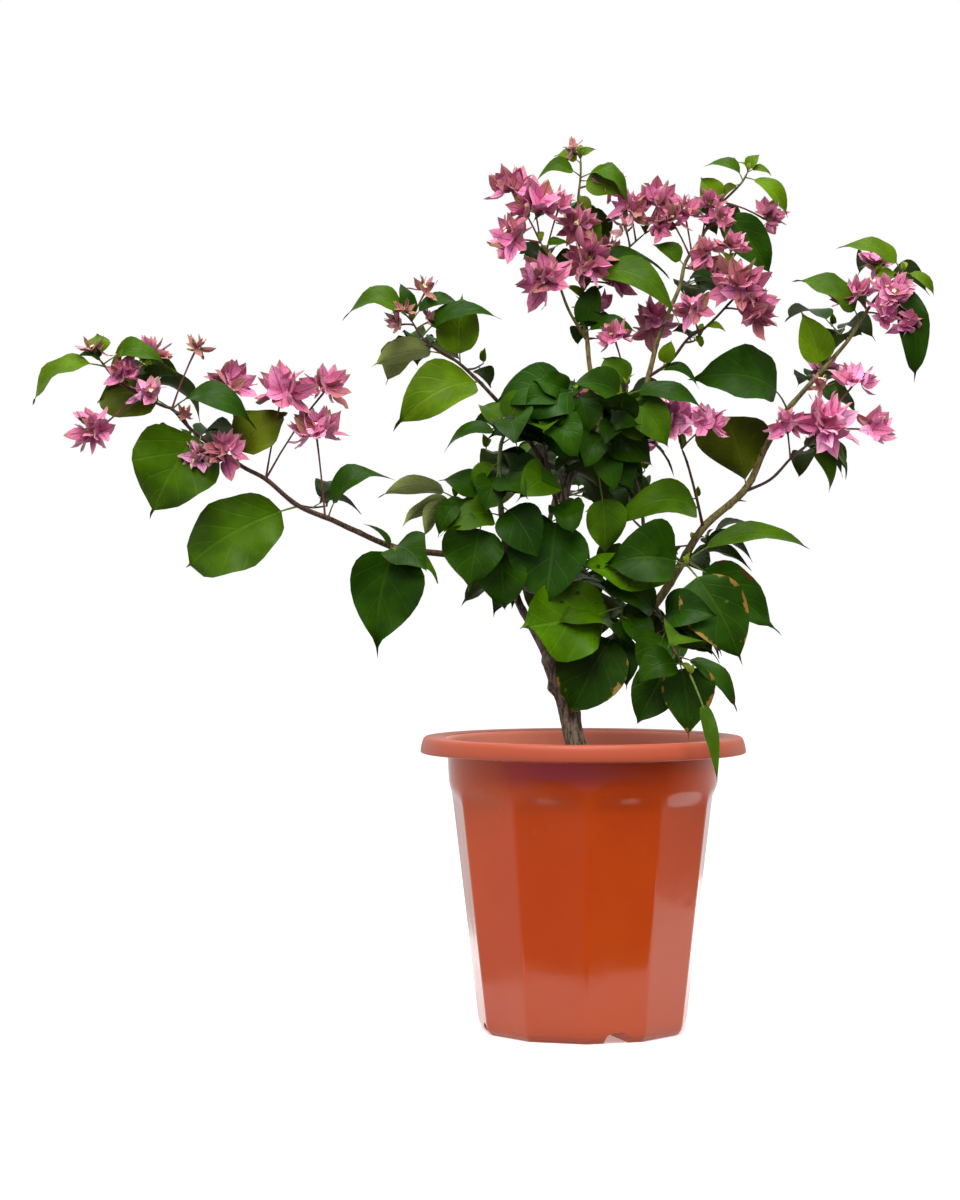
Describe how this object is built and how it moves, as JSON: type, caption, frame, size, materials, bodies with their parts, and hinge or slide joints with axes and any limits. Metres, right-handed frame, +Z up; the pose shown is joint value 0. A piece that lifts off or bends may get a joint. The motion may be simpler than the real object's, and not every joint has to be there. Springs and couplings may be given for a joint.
{
  "type": "potted bougainvillea",
  "caption": "Bougainvillea bush with one leaning trunk, long open boughs and papery bracts, in a tapering plastic pot with flat panels and a wide rim.",
  "frame": {"origin": "centre of the pot's flat underside", "axes": "+X to the viewer's right, +Y away from the viewer, +Z up; the pot's axis is the Z axis"},
  "size_m": [0.7299, 0.3707, 0.7149],
  "materials": {
    "pot": "glossy",
    "soil": "rough",
    "bark": "rough",
    "foliage": "satin"
  },
  "bodies": {
    "root": {"pot": "pot", "potting_mix": "soil", "trunk": "bark", "leader": "bark", "left_stem": "bark", "right_bough": "bark", "left_arm": "bark", "upper_left_bough": "bark", "centre_bough": "bark", "right_centre_bough": "bark", "rear_bough": "bark", "rear_right_bough": "bark", "left_arm_spray": "foliage", "left_arm_leaves": "foliage", "left_crown": "foliage", "upper_left_spray": "foliage", "core_left": "foliage", "core_right": "foliage", "centre_left_spray": "foliage", "centre_spray": "foliage", "right_centre_spray": "foliage", "right_centre_blooms": "foliage", "right_inner_bloom": "foliage", "right_outer_spray": "foliage", "right_tip_spray": "foliage", "right_shoulder_leaves": "foliage", "right_low_leaves": "foliage", "low_front_leaves": "foliage", "rear_spray": "foliage", "rear_right_spray": "foliage", "rear_low_leaves": "foliage"}
  },
  "joints": []
}
